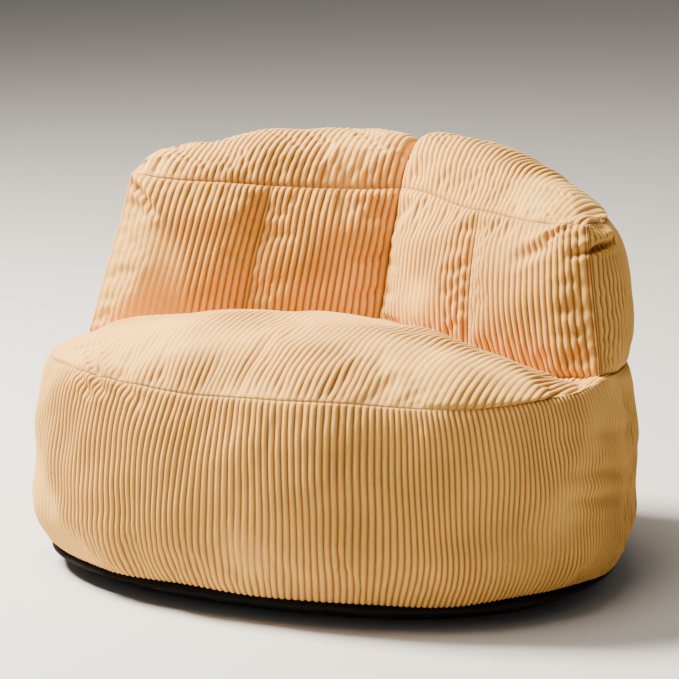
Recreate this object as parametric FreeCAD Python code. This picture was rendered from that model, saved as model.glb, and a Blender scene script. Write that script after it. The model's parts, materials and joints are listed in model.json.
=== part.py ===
"""A low, round bean bag chair: a wide drum-shaped seat with a wrap-around backrest.

The cover is sewn from wide-wale corduroy panels over a dark base cloth. Inside it, one liner holds
the seat fill and two liners, one each side of a centre baffle, hold the back fill. A zip without
a pull tab runs round the rear of the base, so that the cover comes off. All sizes are millimetres;
+Z is up, the sitter faces -Y, and the origin is on the floor under the middle of the chair.
"""

import FreeCAD
import Part
import math
import os

Vector = FreeCAD.Vector

# Driving dimensions
WIDTH = 880.0  # across the widest part of the drum
DEPTH = 765.0  # front of the drum to its back
HEIGHT = 595.0  # floor to the top of the backrest
SEAT_SEAM_HEIGHT = 305.0  # where the drum's wall meets the seat
SEAT_CROWN = 80.0  # how far the seat domes above that seam
BAND_FOOT_HEIGHT = 34.0  # lower edge of the corduroy, where the dark base cloth starts
BULGE_HEIGHT = 114.0  # where the drum is widest

# Cloth and gaps
PANEL_THICKNESS = 2.4
BASE_CLOTH_THICKNESS = 2.0
LINER_THICKNESS = 0.8
BAFFLE_THICKNESS = 1.6
SEAM_GAP = 2.2  # each panel stops this far short of its seam line
LINER_INSET = 14.0  # liner's outer face behind the cover's outer face
FILL_INSET = 20.0  # fill's face behind the cover's outer face

# Plan of the drum: the rear half is a circle about the hip line, the front half is squarer
HALF_WIDTH = WIDTH / 2
FRONT_REACH = DEPTH - HALF_WIDTH  # from the hip line to the front
HIP_LINE_Y = FRONT_REACH - DEPTH / 2
FRONT_SQUARENESS = 2.28  # 2 is an ellipse
FOOT_INSET = 28.0  # how far the drum pulls in at the base cloth
SEAM_INSET = 32.0  # and at the seat seam

# Backrest: S runs from 0 at the centre seam to 1 at the arm's front seam
INNER_FOOT_X, INNER_FOOT_Y, INNER_FOOT_RISE = 401.0, -38.0, 146.0
INNER_TOP_X, INNER_TOP_Y, INNER_TOP_RISE = 371.0, 38.0, 156.0
INNER_TOP_HEIGHT = 518.0
INNER_CURVE = 1.5  # how the inner face turns from the arms to the centre seam
INNER_PILLOW = 20.0  # how far each inner panel stands out between its seams
CHANNEL_S = 0.45  # the stitched channel between the two inner panels of a side
OUTER_TOP_CENTRE_Y, OUTER_TOP_X, OUTER_TOP_REACH = 30.0, 379.0, 318.0
OUTER_TOP_HEIGHT = 502.0
OUTER_TOP_END_ANGLE = 2.2
OUTER_PILLOW = 30.0
OUTER_FOOT_HEIGHT = 309.0
ARM_ROUND_S = 0.86  # from here to the arm's front seam the outer wall rounds in
ARM_SEAM_ANGLE = 3.2  # about the hip line, where the arm's front seam meets the drum
CROWN_AT_CENTRE = HEIGHT - (INNER_TOP_HEIGHT + OUTER_TOP_HEIGHT) / 2
CROWN_AT_ARM = 14.0
CENTRE_DIP = 16.0  # the centre seam pulls the crown down

# Zip, on the cone between the base cloth and the rear band
SIDE_SEAM_ANGLE = 10.0  # rear band spans from here round to the other side
ZIP_START_ANGLE, ZIP_END_ANGLE = 10.6, 169.4
ZIP_BAND_FOOT_HEIGHT = 70.0  # lower edge of the rear band, above the zip
TAPE_WIDTH, TAPE_THICKNESS = 15.5, 0.9
STOP_INSET_ANGLE = 1.2  # the metal stops sit this far in from the tapes' ends
TEETH_INSET_ANGLE = 1.6
COIL_HALF_WIDTH, COIL_HEIGHT = 2.6, 2.0
COIL_GAP = 0.3
SLIDER_LENGTH, SLIDER_WIDTH, SLIDER_PLATE = 13.0, 9.4, 1.4
SLIDER_CLEARANCE = 0.5
SLIDER_ANGLE = 14.0  # parked at the closed end of the zip

RING_POINTS = 64


def lerp(a, b, t):
    return a + (b - a) * t


# ---------------------------------------------------------------- surfaces of the cover


def drum_inset(z):
    """How far the drum's wall lies inside its widest line at height z."""
    if z < BULGE_HEIGHT:
        t = (BULGE_HEIGHT - z) / (BULGE_HEIGHT - BAND_FOOT_HEIGHT)
        return FOOT_INSET * t**1.7
    t = (z - BULGE_HEIGHT) / (SEAT_SEAM_HEIGHT - BULGE_HEIGHT)
    return SEAM_INSET * t**1.7


def drum_point(angle, z, inset):
    """A point of the drum's plan at an angle in degrees about the hip line's middle."""
    c, s = math.cos(math.radians(angle)), math.sin(math.radians(angle))
    half, front = HALF_WIDTH - inset, FRONT_REACH - inset
    if s >= 0:
        return Vector(half * c, HIP_LINE_Y + half * s, z)
    n = FRONT_SQUARENESS
    r = (abs(c / half) ** n + abs(s / front) ** n) ** (-1 / n)
    return Vector(r * c, HIP_LINE_Y + r * s, z)


def wall_point(angle, z):
    return drum_point(angle, z, drum_inset(z))


def inner_foot(s):
    bend = (1 - abs(s)) ** INNER_CURVE
    return Vector(INNER_FOOT_X * s, INNER_FOOT_Y + INNER_FOOT_RISE * bend, SEAT_SEAM_HEIGHT + 3)


def inner_top(s):
    bend = (1 - abs(s)) ** INNER_CURVE
    return Vector(INNER_TOP_X * s, INNER_TOP_Y + INNER_TOP_RISE * bend, INNER_TOP_HEIGHT)


def outer_top(s):
    a = math.radians(90 - abs(s) * (90 - OUTER_TOP_END_ANGLE))
    x = math.copysign(OUTER_TOP_X * math.cos(a), s)
    return Vector(x, OUTER_TOP_CENTRE_Y + OUTER_TOP_REACH * math.sin(a), OUTER_TOP_HEIGHT)


def outer_foot(s):
    a = 90 - abs(s) * (90 - ARM_SEAM_ANGLE)
    p = drum_point(a, OUTER_FOOT_HEIGHT, SEAM_INSET)
    return Vector(math.copysign(p.x, s), p.y, p.z)


def pillow(t):
    """0 at both seams and 1 between them, steep beside the seams."""
    return max(0.0, 4 * t * (1 - t)) ** 0.6


def inner_point(s, v, s0, s1):
    """Inner face of the backrest, padded out between the seams at s0 and s1."""
    p = lerp(inner_foot(s), inner_top(s), v)
    along = (s - s0) / (s1 - s0)
    out = INNER_PILLOW * pillow(along) * pillow(v)
    return p + Vector(-0.35 * s * out, -0.9 * out, 0)


def crown_height(s):
    rise = lerp(CROWN_AT_CENTRE, CROWN_AT_ARM, abs(s) ** 1.6)
    return rise - CENTRE_DIP * max(0.0, 1 - abs(s) / 0.12) ** 2


def top_point(s, w):
    """Top of the backrest, from the inner top seam (w = 0) over to the outer one (w = 1)."""
    p = lerp(inner_top(s), outer_top(s), w)
    return p + Vector(0, 0, crown_height(s) * max(0.0, 4 * w * (1 - w)) ** 0.75)


def outer_point(s, v):
    """Outer wall of the backrest, from the drum's seam (v = 0) up to the top seam (v = 1)."""
    p = lerp(outer_foot(s), outer_top(s), v)
    away = Vector(p.x, p.y - HIP_LINE_Y, 0).normalize()
    past = max(0.0, abs(s) - ARM_ROUND_S) / (1 - ARM_ROUND_S)
    return p + away * (OUTER_PILLOW * pillow(v) * math.sqrt(max(0.0, 1 - past**2)))


# ---------------------------------------------------------------- making solids


def spline_face(grid):
    surface = Part.BSplineSurface()
    surface.interpolate(grid)
    return surface


def panel(point, u_range, v_range, counts, thickness, inward):
    """A sewn panel: a curved patch of cloth of even thickness, which inward's sign puts inside."""
    nu, nv = counts
    us = [lerp(*u_range, i / (nu - 1)) for i in range(nu)]
    vs = [lerp(*v_range, j / (nv - 1)) for j in range(nv)]
    outer = [[point(u, v) for v in vs] for u in us]
    inner = []
    for i in range(nu):
        inner.append([outer[i][j] + grid_normal(outer, i, j) * (thickness * inward) for j in range(nv)])
    a, b = spline_face(outer), spline_face(inner)
    faces = [a.toShape(), b.toShape()]
    for iso, ends in (("uIso", (0.0, 1.0)), ("vIso", (0.0, 1.0))):
        for t in ends:
            edge_a, edge_b = getattr(a, iso)(t).toShape(), getattr(b, iso)(t).toShape()
            faces.append(Part.makeRuledSurface(edge_a, edge_b))
    shell = Part.Shell(faces)
    shell.sewShape()
    return fixed(Part.Solid(shell))


def grid_normal(grid, i, j):
    nu, nv = len(grid), len(grid[0])
    du = grid[min(i + 1, nu - 1)][j] - grid[max(i - 1, 0)][j]
    dv = grid[i][min(j + 1, nv - 1)] - grid[i][max(j - 1, 0)]
    return du.cross(dv).normalize()


def fixed(solid):
    if solid.Volume < 0:
        solid.reverse()
    return solid


def ring(points):
    curve = Part.BSplineCurve()
    curve.interpolate(points, PeriodicFlag=True)
    return Part.Wire(curve.toShape())


def stack(rings):
    """A closed solid through rings of points, straight between one ring and the next."""
    return fixed(Part.makeLoft([ring(r) for r in rings], True, True))


def shell_between(outer, inner):
    return fixed(outer.cut(inner))


# ---------------------------------------------------------------- the drum


def drum_ring(z, inset):
    return [drum_point(360 * i / RING_POINTS, z, inset) for i in range(RING_POINTS)]


def seat_reach(angle):
    """From the seat's middle to its outline: the front seam, or the backrest's foot, if nearer."""
    c, s = math.cos(math.radians(angle)), math.sin(math.radians(angle))
    low, high = 0.0, WIDTH
    for _ in range(BISECTIONS):
        r = (low + high) / 2
        x, y = r * c, SEAT_MIDDLE_Y + r * s
        in_front_of_back = y < inner_foot(min(1.0, abs(x) / INNER_FOOT_X)).y - SEAT_BACK_GAP
        low, high = (r, high) if in_front_of_back and inside_drum(x, y) else (low, r)
    return low


def inside_drum(x, y):
    """Whether a point is inside the drum's outline at the seat seam."""
    half, front = HALF_WIDTH - SEAM_INSET, FRONT_REACH - SEAM_INSET
    if y >= HIP_LINE_Y:
        return math.hypot(x, y - HIP_LINE_Y) < half
    n = FRONT_SQUARENESS
    return abs(x / half) ** n + abs((y - HIP_LINE_Y) / front) ** n < 1


SEAT_MIDDLE_Y = -130.0
SEAT_BACK_GAP = 4.0  # room for the backrest's inner panels, which bulge over the seat's edge
BISECTIONS = 40
DOME_RINGS = (1.0, 0.975, 0.93, 0.85, 0.72, 0.55, 0.36, 0.16)


def dome_rise(share):
    return SEAT_CROWN * (1 - share**2.6) ** 0.85


def dome_rings(inset, drop):
    """Rings of the seat's dome, one above the other, each a share of the seat's outline."""
    angles = [360 * i / RING_POINTS for i in range(RING_POINTS)]
    reach = [seat_reach(a) for a in angles]
    reach = [(reach[i - 1] + 2 * r + reach[(i + 1) % RING_POINTS]) / 4 for i, r in enumerate(reach)]
    rings = []
    for share in DOME_RINGS:
        z = SEAT_SEAM_HEIGHT + dome_rise(share) - drop
        rings.append([seat_spot(a, (r - inset) * share, z) for a, r in zip(angles, reach)])
    return rings


def seat_spot(angle, r, z):
    a = math.radians(angle)
    return Vector(r * math.cos(a), SEAT_MIDDLE_Y + r * math.sin(a), z)


def make_seat_panel():
    outer = stack(dome_rings(SEAM_GAP, 0))
    inner = stack(dome_rings(SEAM_GAP + PANEL_THICKNESS, PANEL_THICKNESS + 0.01))
    return shell_between(outer, inner)


def make_band_front():
    gap = math.degrees(SEAM_GAP / HALF_WIDTH)
    span = (-180 - SIDE_SEAM_ANGLE + gap, SIDE_SEAM_ANGLE - gap)
    heights = (BAND_FOOT_HEIGHT + SEAM_GAP / 2, SEAT_SEAM_HEIGHT - SEAM_GAP)
    return panel(wall_point, span, heights, (41, 13), PANEL_THICKNESS, -1)


def make_band_rear():
    gap = math.degrees(SEAM_GAP / HALF_WIDTH)
    span = (SIDE_SEAM_ANGLE + gap, 180 - SIDE_SEAM_ANGLE - gap)
    heights = (ZIP_BAND_FOOT_HEIGHT, SEAT_SEAM_HEIGHT - SEAM_GAP)
    return panel(wall_point, span, heights, (31, 13), PANEL_THICKNESS, -1)


# the base cloth: (height, how far its outline lies inside the lower edge of the corduroy)
BASE_PROFILE = ((0.0, 58.0), (2.5, 42.0), (8.0, 29.0), (17.0, 16.0), (26.0, 8.0), (33.0, 4.0))
BASE_RINGS = [(z, FOOT_INSET + inset) for z, inset in BASE_PROFILE]


def make_bottom_panel():
    t = BASE_CLOTH_THICKNESS
    outer = stack([drum_ring(z, inset) for z, inset in BASE_RINGS])
    inner = stack([drum_ring(z + t, inset + t) for z, inset in BASE_RINGS])
    return shell_between(outer, inner)


def seat_core(inset):
    """The space inside the drum and the seat's dome, held back from the cover."""
    rings = [drum_ring(z + inset, ring_inset + inset) for z, ring_inset in BASE_RINGS[:-1]]
    top = SEAT_SEAM_HEIGHT - inset
    for z in (52.0, 80.0, 114.0, 160.0, 210.0, 250.0, 275.0):
        rings.append(drum_ring(z, drum_inset(z) + inset))
    dome = dome_rings(inset + 4, inset)
    rings.append(drum_ring(top - 4, SEAM_INSET + inset + 3))
    return stack(rings + dome[1:])


def make_seat_fill():
    return seat_core(FILL_INSET)


def make_seat_liner():
    return shell_between(seat_core(LINER_INSET), seat_core(LINER_INSET + LINER_THICKNESS))


# ---------------------------------------------------------------- the backrest

BACK_CORE_START, BACK_CORE_END = 0.035, 0.82


def inner_back(side, s0, s1):
    """One inner panel. side is -1 on the left as seen from the front, and 1 on the right."""
    gap_s = SEAM_GAP / INNER_FOOT_X
    gap_v = SEAM_GAP / (INNER_TOP_HEIGHT - SEAT_SEAM_HEIGHT)
    arm_gap = 2.2 * gap_s if s1 == 1 else gap_s

    def point(s, v):
        return inner_point(side * s, v, side * s0, side * s1)

    return panel(point, (s0 + gap_s, s1 - arm_gap), (gap_v, 1 - gap_v), (13, 11), PANEL_THICKNESS, side)


def back_top(side):
    def point(s, w):
        return top_point(side * s, w)

    return panel(point, (0.008, 0.975), (0.03, 0.97), (23, 11), PANEL_THICKNESS, -side)


def outer_back(side):
    gap_v = 1.3 * SEAM_GAP / (OUTER_TOP_HEIGHT - OUTER_FOOT_HEIGHT)

    def point(s, v):
        return outer_point(side * s, v)

    return panel(point, (0.005, 0.990), (gap_v, 1 - gap_v), (27, 11), PANEL_THICKNESS, -side)


def back_section(s, inset):
    """An upright, flat section through the backrest's inside at s, held back from the cover."""
    points = [lerp(inner_foot(s), inner_top(s), v) for v in (0.08, 0.5, 0.93)]
    points += [top_point(s, w) for w in (0.2, 0.5, 0.8)]
    points += [lerp(outer_foot(s), outer_top(s), v) for v in (0.93, 0.5, 0.08)]
    middle = sum(points, Vector()) * (1 / len(points))
    across = outer_foot(s) - inner_foot(s)
    across = Vector(across.x, across.y, 0).normalize()
    flat = []
    for p in points:
        reach = (p - middle).dot(across)
        away = Vector(0, 0, p.z - middle.z) + across * reach
        flat.append(middle + away * (1 - inset / away.Length))
    return flat


def back_core(side, inset):
    """The inside of one half of the backrest, from beside the centre baffle to near the arm."""
    end_trim = (inset - LINER_INSET) / INNER_FOOT_X
    places = [lerp(BACK_CORE_START + end_trim, BACK_CORE_END - end_trim, i / 8) for i in range(9)]
    wires = []
    for s in places:
        corners = back_section(side * s, inset)
        wires.append(Part.makePolygon(corners + corners[:1]))
    return fixed(Part.makeLoft(wires, True, True))


def make_back_fill(side):
    return back_core(side, FILL_INSET)


def make_back_liner(side):
    return shell_between(back_core(side, LINER_INSET), back_core(side, LINER_INSET + LINER_THICKNESS))


def make_centre_baffle():
    """The cloth wall between the two halves of the backrest, which pulls the centre seam in."""
    low_y, high_y = inner_foot(0).y + 12, outer_foot(0).y - 8
    top_front, top_back = inner_top(0).y + 12, outer_top(0).y - 10
    z0, z1 = OUTER_FOOT_HEIGHT + 10, INNER_TOP_HEIGHT - 4
    outline = [(low_y, z0), (high_y, z0), (high_y + 6, lerp(z0, z1, 0.5))]
    outline += [(top_back, z1), (top_front, z1)]
    corners = [Vector(-BAFFLE_THICKNESS / 2, y, z) for y, z in outline]
    face = Part.Face(Part.makePolygon(corners + corners[:1]))
    return face.extrude(Vector(BAFFLE_THICKNESS, 0, 0))


# ---------------------------------------------------------------- the zip

AXIS_POINT = Vector(0, HIP_LINE_Y, 0)
# the cone that the zip lies on, as (radius, height) of its middle line and its slope
CONE_LOW = (HALF_WIDTH - FOOT_INSET, BAND_FOOT_HEIGHT)
CONE_HIGH = (HALF_WIDTH - drum_inset(ZIP_BAND_FOOT_HEIGHT), ZIP_BAND_FOOT_HEIGHT)
CONE_LENGTH = math.hypot(CONE_HIGH[0] - CONE_LOW[0], CONE_HIGH[1] - CONE_LOW[1])
CONE_UP = tuple((b - a) / CONE_LENGTH for a, b in zip(CONE_LOW, CONE_HIGH))
CONE_OUT = (CONE_UP[1], -CONE_UP[0])
CONE_MIDDLE = tuple((a + b) / 2 for a, b in zip(CONE_LOW, CONE_HIGH))


def zip_spot(up, out):
    """A point of the zip's cross-section: up along the cone, out from it. On the plane Y = hip line."""
    r = CONE_MIDDLE[0] + CONE_UP[0] * up + CONE_OUT[0] * out
    z = CONE_MIDDLE[1] + CONE_UP[1] * up + CONE_OUT[1] * out
    return Vector(r, HIP_LINE_Y, z)


def swept(section, start, end):
    """A cross-section swung round the drum's axis from one angle to another, in degrees."""
    corners = [zip_spot(up, out) for up, out in section]
    face = Part.Face(Part.makePolygon(corners + corners[:1]))
    face.rotate(AXIS_POINT, Vector(0, 0, 1), start)
    return fixed(face.revolve(AXIS_POINT, Vector(0, 0, 1), end - start))


def box_section(up0, up1, out0, out1):
    return [(up0, out0), (up1, out0), (up1, out1), (up0, out1)]


def make_zip_tape(side):
    """side 1 is the upper tape, sewn to the rear band, and -1 the lower one."""
    near, far = COIL_GAP / 2, TAPE_WIDTH + COIL_GAP / 2
    section = box_section(side * near, side * far, -TAPE_THICKNESS, 0)
    return swept(section, ZIP_START_ANGLE, ZIP_END_ANGLE)


def make_zip_coil(side):
    """The row of teeth on one tape, as one rounded bead along it."""
    w, h = COIL_HALF_WIDTH, COIL_HEIGHT
    near = COIL_GAP / 2
    section = [(near, 0.05), (w, 0.05), (w, 0.6 * h), (0.75 * w, h), (near, h)]
    section = [(side * up, out) for up, out in section]
    return swept(section, ZIP_START_ANGLE + TEETH_INSET_ANGLE, ZIP_END_ANGLE - TEETH_INSET_ANGLE)


def make_zip_stop(angle):
    """A crimped metal stop across both rows of teeth, just past their end."""
    half = math.degrees(1.2 / CONE_MIDDLE[0])
    w = COIL_HALF_WIDTH + 0.6
    return swept(box_section(-w, w, 0.05, COIL_HEIGHT + 0.4), angle - half, angle + half)


def make_slider_body():
    """The slider's two plates: one over the teeth with turned-down sides, one behind the tapes."""
    half = math.degrees(SLIDER_LENGTH / 2 / CONE_MIDDLE[0])
    w, t, c = SLIDER_WIDTH / 2, SLIDER_PLATE, SLIDER_CLEARANCE
    top = COIL_HEIGHT + c
    flange = COIL_HALF_WIDTH + c
    over = [(-w, c), (-flange, c), (-flange, top), (flange, top), (flange, c), (w, c)]
    over += [(w, top + t), (-w, top + t)]
    under = box_section(-w, w, -TAPE_THICKNESS - c - t, -TAPE_THICKNESS - c)
    a = swept(over, SLIDER_ANGLE - half, SLIDER_ANGLE + half)
    b = swept(under, SLIDER_ANGLE - half, SLIDER_ANGLE + half)
    return Part.makeCompound([a, b])


def make_slider_cap():
    """The locking cap on the slider, with a slot under it for a paper clip in place of a pull tab."""
    base = COIL_HEIGHT + SLIDER_CLEARANCE + SLIDER_PLATE + 0.05
    half = math.degrees(4.2 / CONE_MIDDLE[0])
    post = math.degrees(1.4 / CONE_MIDDLE[0])
    block = swept(box_section(-1.8, 1.8, base, base + 2.6), SLIDER_ANGLE - half, SLIDER_ANGLE + half)
    slot_section = box_section(-3, 3, base - 1, base + 1.4)
    slot = swept(slot_section, SLIDER_ANGLE - half + post, SLIDER_ANGLE + half - post)
    return fixed(block.cut(slot))


def main():
    os.makedirs("parts", exist_ok=True)
    nodes = {
        "seat_panel": make_seat_panel(),
        "base_band_front": make_band_front(),
        "base_band_rear": make_band_rear(),
        "bottom_panel": make_bottom_panel(),
        "seat_liner": make_seat_liner(),
        "seat_fill": make_seat_fill(),
        "centre_baffle": make_centre_baffle(),
        "zip_tape_upper": make_zip_tape(1),
        "zip_tape_lower": make_zip_tape(-1),
        "zip_teeth_upper": make_zip_coil(1),
        "zip_teeth_lower": make_zip_coil(-1),
        "zip_stop_right": make_zip_stop(ZIP_START_ANGLE + STOP_INSET_ANGLE),
        "zip_stop_left": make_zip_stop(ZIP_END_ANGLE - STOP_INSET_ANGLE),
        "zip_slider_body": make_slider_body(),
        "zip_slider_cap": make_slider_cap(),
    }
    for name, side in (("left", -1), ("right", 1)):
        nodes["inner_back_" + name + "_centre"] = inner_back(side, 0.0, CHANNEL_S)
        nodes["inner_back_" + name + "_outer"] = inner_back(side, CHANNEL_S, 1.0)
        nodes["back_top_" + name] = back_top(side)
        nodes["outer_back_" + name] = outer_back(side)
        nodes["back_liner_" + name] = make_back_liner(side)
        nodes["back_fill_" + name] = make_back_fill(side)
    for name, shape in nodes.items():
        print(f"{name:26s} valid {shape.isValid()}  solids {len(shape.Solids)}  {shape.Volume / 1000:10.2f} cm3")
        shape.exportStep("parts/" + name + ".step")


main()
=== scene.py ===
"""A low, round bean bag chair in wide-wale corduroy: the cover, panel by panel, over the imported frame.

Metres; +Z is up, the sitter faces -Y, and left and right are as seen from the front. Every panel is
a grid whose columns follow the wales, so that each rib is real geometry. A coarse copy of each panel,
held at its seams and cut a little too large for them, billows and puckers in a short cloth
simulation, and the fine grid takes its folds from there.
"""

import itertools
import json
import math

import bpy
import numpy as np
from mathutils import Euler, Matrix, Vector


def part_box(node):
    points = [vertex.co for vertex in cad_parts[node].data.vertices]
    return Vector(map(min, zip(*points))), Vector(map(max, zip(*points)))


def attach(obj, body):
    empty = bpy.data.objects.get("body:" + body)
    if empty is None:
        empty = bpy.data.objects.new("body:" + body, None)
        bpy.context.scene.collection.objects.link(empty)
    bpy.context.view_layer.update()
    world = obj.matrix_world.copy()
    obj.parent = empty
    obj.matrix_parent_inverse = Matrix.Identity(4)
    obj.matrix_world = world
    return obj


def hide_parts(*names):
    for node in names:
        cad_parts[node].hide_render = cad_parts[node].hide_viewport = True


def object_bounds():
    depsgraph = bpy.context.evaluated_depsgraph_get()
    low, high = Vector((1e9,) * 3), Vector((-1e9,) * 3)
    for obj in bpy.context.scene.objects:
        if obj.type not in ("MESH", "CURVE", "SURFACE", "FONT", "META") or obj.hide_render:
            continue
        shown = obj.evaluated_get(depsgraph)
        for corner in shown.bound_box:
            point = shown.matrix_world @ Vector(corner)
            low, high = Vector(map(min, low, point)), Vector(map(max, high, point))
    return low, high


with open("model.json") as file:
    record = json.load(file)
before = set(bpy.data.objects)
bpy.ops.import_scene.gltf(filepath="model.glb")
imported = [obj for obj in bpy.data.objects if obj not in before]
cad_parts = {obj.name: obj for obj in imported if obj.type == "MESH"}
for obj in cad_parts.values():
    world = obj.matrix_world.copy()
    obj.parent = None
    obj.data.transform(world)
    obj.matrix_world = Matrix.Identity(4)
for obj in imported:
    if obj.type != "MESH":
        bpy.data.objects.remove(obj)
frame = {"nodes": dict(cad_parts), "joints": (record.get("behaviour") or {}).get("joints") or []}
cad_low, cad_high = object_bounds()

# ---------------------------------------------------------------- sizes read from the frame

BAND_LOW, BAND_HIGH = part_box("base_band_front")
SEAM_Z = BAND_HIGH.z + 0.0022  # where the seat and the drum are sewn together
RIM_Z = BAND_LOW.z - 0.0011  # the corduroy's lower edge
TOP_Z = cad_high.z + 0.002
HALF_WIDTH = cad_high.x
FRONT_Y = cad_low.y
HIP_Y = frame["joints"][0]["pos_m"][1]  # the drum's axis, round which the zip runs
FRONT_REACH = HIP_Y - FRONT_Y

# ---------------------------------------------------------------- shape of the drum and the seat

BULGE_Z = 0.114  # where the drum is widest
FLANK_POWER = 1.7  # 1 is a straight flank above and below the bulge
FRONT_SQUARENESS = 2.28  # 2 is an ellipse
RIM_INSET = 0.028
SEAM_INSET = 0.032
REAR_SEAM_INSET = 0.019  # under the backrest, which pulls the drum upright
REAR_SEAM_EASE = 0.42  # behind the hips, by this share of the drum's radius, the seam is at that inset
BULGE_EASE, LOW_EASE = 0.005, 0.004  # the cloth hangs in by this much all round, and lower down
EASE_FROM, EASE_BLEND = 0.1, 0.3  # shares of the band's height. Its foot joins the base cloth, with no ease
ZIP_BAND_FOOT_Z = 0.070
SEAM_HALF_WIDTH = HALF_WIDTH - SEAM_INSET
SEAM_FRONT_REACH = FRONT_REACH - SEAM_INSET
SEAT_RISE = 0.080
SEAT_EDGE = 0.40  # over this distance from its edge the seat still rises
SEAT_CORNER = 8  # how sharply the rise turns from the drum's edge to the backrest's
DOME_FALL, DOME_FULLNESS = 2.6, 0.85
UNDER_ARM = 0.065  # how far the seat panel runs on under the foot of each arm
UNDER_ARM_X, UNDER_ARM_BLEND = 0.355, 0.03  # from this x outwards

# ---------------------------------------------------------------- shape of the backrest

# The inner face: its foot and its top seam each run from the arm (x, y) back to the middle (y + rise).
FOOT_X, FOOT_Y, FOOT_RISE = 0.401, -0.038, 0.146
SEAM_TOP_X, SEAM_TOP_Y, SEAM_TOP_RISE = 0.359, 0.022, 0.164
FOOT_Z, SEAM_TOP_Z = SEAM_Z + 0.003, 0.518
INNER_CURVE = 1.5
CHANNEL_S = 0.46  # the stitched channel's place, from 0 at the centre seam to 1 at the arm
INNER_PILLOW = 0.020
INNER_PILLOW_X, INNER_PILLOW_Y = -0.35, -0.9  # its direction: across (none at the centre) and forwards
CENTRE_PULL_REACH, CHANNEL_PULL_REACH, ARM_PULL_REACH = 0.028, 0.016, 0.022
CHANNEL_PULL, CHANNEL_PULL_AT_FOOT = 0.75, 0.45  # the channel takes away this much of the pillow

# The top and the outer wall.
OUTER_TOP_Y, OUTER_TOP_REACH, OUTER_TOP_Z = 0.030, 0.318, 0.502
OUTER_PILLOW, OUTER_PILLOW_REACH = 0.017, 0.030
ARM_BLEND = 0.1  # over this last share of its length the outer wall's foot runs in to the arm
CROWN_AT_ARM = {-1: 0.030, 1: 0.014}
CROWN_FALL = 2.2  # 1 is a crown that falls evenly from the centre seam to the arm
CENTRE_DIPS = ((0.16, 0.045), (0.24, 0.010))  # (share of the crown, reach) at the centre seam
TIP_SHARPNESS = {-1: 40, 1: 20}
ARM_LIFT = 0.006  # the top seam rises by this much towards the arms
BACK_LEAN = -0.040  # the fill has settled, so that the backrest stands higher on the left

# The middle of the fill, which seams and creases are drawn towards.
MIDDLE_X_SHARE = 0.80
DRUM_MIDDLE_Z, BACK_MIDDLE_Z = 0.17, 0.42
BACK_MIDDLE_Y, BACK_MIDDLE_BEND = 0.20, 0.45

# ---------------------------------------------------------------- corduroy

WALE = 0.0101
TAUT_WALE = 0.9  # the seat's and the top's wales are pulled less wide
SLACK_FLANK_X, SLACK_FLANK_BLEND, SLACK_FLANK_WALE = 0.17, 0.15, 0.78
RIB_HEIGHT = 0.0028
RIB_POWER = 1.7  # 2 is a parabola
RIB_STEPS = (-0.5, -0.42, -0.31, -0.16, 0.0, 0.16, 0.31, 0.42)  # the columns across a wale
EDGE_CLEAR = 0.04  # no column is nearer to a panel's side than this share of a wale
ROW_STEP = 0.0028
ROW_CROWDING = 0.25  # how far the rows crowd towards the seams
MOST_FACES = 76000  # in one panel
WANDER_SHIFT, WANDER_REACH = 0.0010, 0.03
LUMP_HEIGHT = 0.0022
WRINKLE_HEIGHT, WRINKLE_REACH = 0.0009, 0.03
SEAM_TUCK, SEAM_TUCK_REACH = 0.0015, 0.004
STITCH_REACH = 0.003  # within this the ribs are flattened and the seam is painted with shade
ARM_SEAM_X, ARM_SEAM_BLEND, ARM_SEAM_SOFTNESS = 0.325, 0.02, 0.7
TURN_IN_REACH = 0.020  # nearer to a seam than this, a crease goes inwards with its neighbour panel
FULL_CREASE = 0.010  # a crease this deep gets as much painted shade as a seam
HEM_DEPTH = 0.012

# How far the nap is brushed flat, which also takes painted shade out of the grooves: by panel, and (how
# much, from which x, over what distance). On the seat and the top it is partly wear and partly painted
# light, for the softer shade where light falls from above.
WEAR_AND_TOP_LIGHT = {"seat_panel": 1.1, "back_top": 0.5}
LEFT_WEAR, RIGHT_FLANK_WEAR = (1.6, 0.24, 0.14), (0.7, 0.15, 0.15)
PATCH_WEAR, WEAR_FROM, WEAR_BLEND = 0.6, 0.5, 1.2
RIB_WEAR, GROOVE_WEAR = 0.60, 0.65  # what full wear takes off a rib's height and a groove's painted shade

# ---------------------------------------------------------------- cloth simulation

COARSE_STEP = 0.011
SIM_FRAMES = 26
FOLD_LIMIT = 0.014  # no point moves further than this
SINK_LIMIT = 0.005  # or inwards by more than this


def lerp(a, b, t):
    return a + (b - a) * t


def smooth(t):
    t = np.clip(t, 0, 1)
    return t * t * (3 - 2 * t)


def arch(t, power):
    """From 0 up to 1 at t = 0.5 and back. The lower the power, the fuller the arch."""
    return np.clip(4 * t * (1 - t), 0, 1) ** power


def points(x, y, z):
    return np.stack(np.broadcast_arrays(x, y, z), axis=-1).astype(float)


def unit(v):
    return v / np.maximum(np.linalg.norm(v, axis=-1, keepdims=True), 1e-12)


def running_length(p):
    steps = np.linalg.norm(np.diff(p, axis=0), axis=1)
    return np.concatenate([[0.0], np.cumsum(steps)])


# ---------------------------------------------------------------- smooth noise


def waves(seed, longest, shortest, count=14):
    """A smooth random field of position: a sum of plane waves between two wavelengths."""
    rng = np.random.default_rng(seed)
    direction = rng.normal(size=(count, 3))
    direction /= np.linalg.norm(direction, axis=1, keepdims=True)
    lengths = longest * (shortest / longest) ** rng.random(count)
    vectors = direction * (2 * math.pi / lengths)[:, None]
    phases = rng.random(count) * 2 * math.pi
    weights = lengths / lengths.max()
    weights /= math.sqrt((weights**2).sum() / 2)

    def field(p):
        total = np.zeros(p.shape[:-1])
        for vector, phase, weight in zip(vectors, phases, weights):
            total += weight * np.sin(p @ vector + phase)
        return total

    return field


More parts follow.
